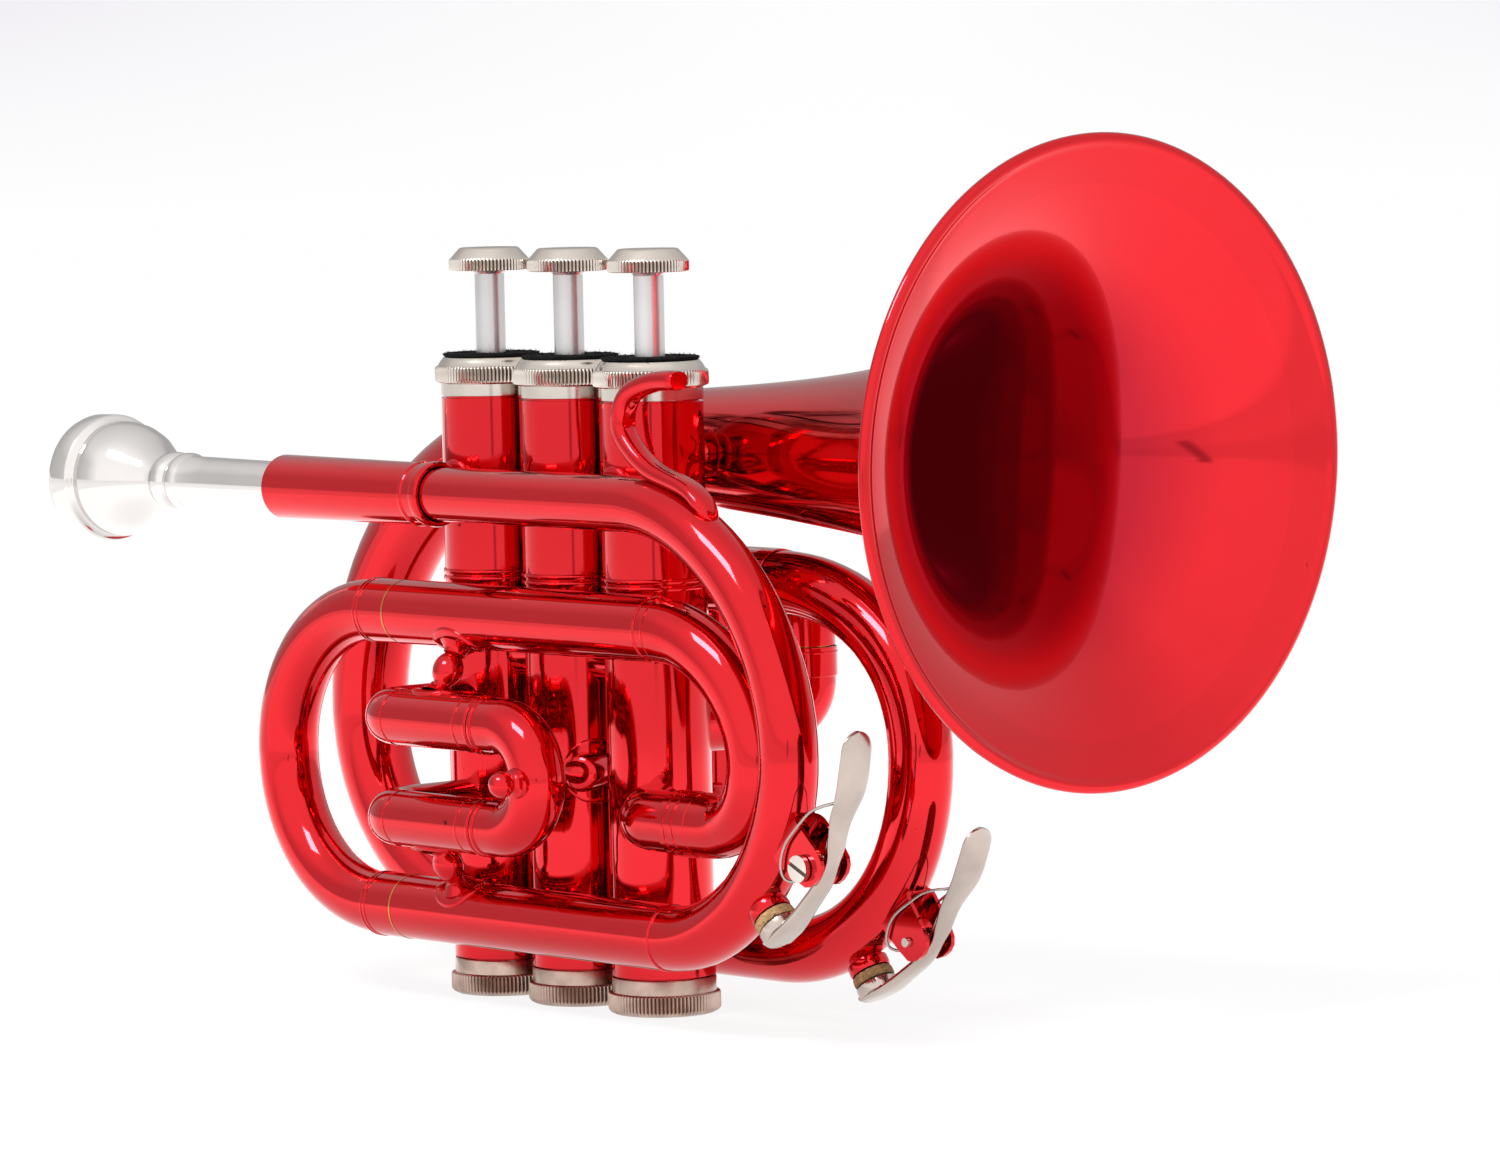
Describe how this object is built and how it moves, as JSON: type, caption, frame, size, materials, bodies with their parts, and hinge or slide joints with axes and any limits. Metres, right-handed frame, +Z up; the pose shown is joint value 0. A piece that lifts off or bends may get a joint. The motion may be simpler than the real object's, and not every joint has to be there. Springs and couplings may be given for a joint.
{
  "type": "pocket trumpet",
  "caption": "Compact coiled trumpet with three piston valves, finger buttons, tuning and valve slides, water keys, a finger hook, a flared bell and a mouthpiece.",
  "frame": {"origin": "on the second valve's axis, at the bottom face of its bottom cap", "axes": "+X along the leadpipe and the bell's axis towards the bell's mouth, +Z up along the valves, +Y away from the leadpipe side"},
  "size_m": [0.2605, 0.1314, 0.1735],
  "materials": {
    "red_lacquer": "mirror-gloss transparent red lacquer over polished metal",
    "nickel": "polished nickel plate",
    "satin_steel": "satin grey stem and piston",
    "silver_plate": "polished silver plate",
    "black_felt": "black felt",
    "cork": "natural cork",
    "spring_steel": "bright spring wire"
  },
  "bodies": {
    "horn": {"valve_casing_1": "red_lacquer", "valve_casing_2": "red_lacquer", "valve_casing_3": "red_lacquer", "bottom_cap_1": "nickel", "bottom_cap_2": "nickel", "bottom_cap_3": "nickel", "top_cap_1": "nickel", "top_cap_2": "nickel", "top_cap_3": "nickel", "cap_felt_1": "black_felt", "cap_felt_2": "black_felt", "cap_felt_3": "black_felt", "valve_spring_1": "spring_steel", "valve_spring_2": "spring_steel", "valve_spring_3": "spring_steel", "leadpipe_receiver": "red_lacquer", "leadpipe": "red_lacquer", "tuning_sleeve_upper": "red_lacquer", "tuning_sleeve_lower": "red_lacquer", "inner_bow": "red_lacquer", "inlet_knuckle": "red_lacquer", "outlet_tube": "red_lacquer", "right_bow": "red_lacquer", "bell_bow": "red_lacquer", "bell": "red_lacquer", "first_slide_sleeve_upper": "red_lacquer", "first_slide_sleeve_lower": "red_lacquer", "second_slide_sleeve_upper": "red_lacquer", "second_slide_sleeve_lower": "red_lacquer", "third_slide_sleeve_front": "red_lacquer", "third_slide_sleeve_rear": "red_lacquer", "leadpipe_brace": "red_lacquer", "bell_brace_1": "red_lacquer", "bell_brace_3": "red_lacquer", "slide_brace_upper": "red_lacquer", "slide_brace_lower": "red_lacquer", "finger_hook": "red_lacquer", "water_key_1_nipple": "red_lacquer", "water_key_1_saddle": "red_lacquer", "water_key_1_screw": "nickel", "water_key_1_spring": "spring_steel", "water_key_2_nipple": "red_lacquer", "water_key_2_saddle": "red_lacquer", "water_key_2_screw": "nickel", "water_key_2_spring": "spring_steel"},
    "valve_1": {"piston_1": "satin_steel", "finger_button_1": "nickel"},
    "valve_2": {"piston_2": "satin_steel", "finger_button_2": "nickel"},
    "valve_3": {"piston_3": "satin_steel", "finger_button_3": "nickel"},
    "main_slide": {"tuning_slide": "red_lacquer"},
    "first_valve_slide": {"first_slide": "red_lacquer"},
    "second_valve_slide": {"second_slide": "red_lacquer"},
    "third_valve_slide": {"third_slide": "red_lacquer"},
    "mouthpiece_body": {"mouthpiece": "silver_plate"},
    "key_1": {"water_key_1_lever": "nickel", "water_key_1_cork": "cork"},
    "key_2": {"water_key_2_lever": "nickel", "water_key_2_cork": "cork"}
  },
  "joints": [
    {"name": "piston_1_press", "type": "slide", "parent": "horn", "child": "valve_1", "axis": [0, 0, -1], "range_m": [0, 0.0155], "stiffness_N_per_m": 180, "springref_m": -0.008, "deforming": ["valve_spring_1"]},
    {"name": "piston_2_press", "type": "slide", "parent": "horn", "child": "valve_2", "axis": [0, 0, -1], "range_m": [0, 0.0155], "stiffness_N_per_m": 180, "springref_m": -0.008, "deforming": ["valve_spring_2"]},
    {"name": "piston_3_press", "type": "slide", "parent": "horn", "child": "valve_3", "axis": [0, 0, -1], "range_m": [0, 0.0155], "stiffness_N_per_m": 180, "springref_m": -0.008, "deforming": ["valve_spring_3"]},
    {"name": "tuning_slide_pull", "type": "slide", "parent": "horn", "child": "main_slide", "axis": [-1, 0, 0], "range_m": [0, 0.035]},
    {"name": "first_slide_pull", "type": "slide", "parent": "horn", "child": "first_valve_slide", "axis": [1, 0, 0], "range_m": [0, 0.016]},
    {"name": "second_slide_pull", "type": "slide", "parent": "horn", "child": "second_valve_slide", "axis": [-0.5706, 0.8212, 0], "range_m": [0, 0.005]},
    {"name": "third_slide_pull", "type": "slide", "parent": "horn", "child": "third_valve_slide", "axis": [0, 0, 1], "range_m": [0, 0.005]},
    {"name": "mouthpiece_pull", "type": "slide", "parent": "horn", "child": "mouthpiece_body", "axis": [-1, 0, 0], "range_m": [0, 0.02]},
    {"name": "water_key_1_lift", "type": "hinge", "parent": "horn", "child": "key_1", "pos_m": [0.09533, -0.0209, 0.03595], "axis": [0, -1, 0], "range_deg": [0, 12], "stiffness_Nm_per_rad": 0.02, "springref_deg": -28.65, "deforming": ["water_key_1_spring"]},
    {"name": "water_key_2_lift", "type": "hinge", "parent": "horn", "child": "key_2", "pos_m": [0.07729, 0.022, 0.01617], "axis": [0, -1, 0], "range_deg": [0, 12], "stiffness_Nm_per_rad": 0.02, "springref_deg": -28.65, "deforming": ["water_key_2_spring"]}
  ]
}
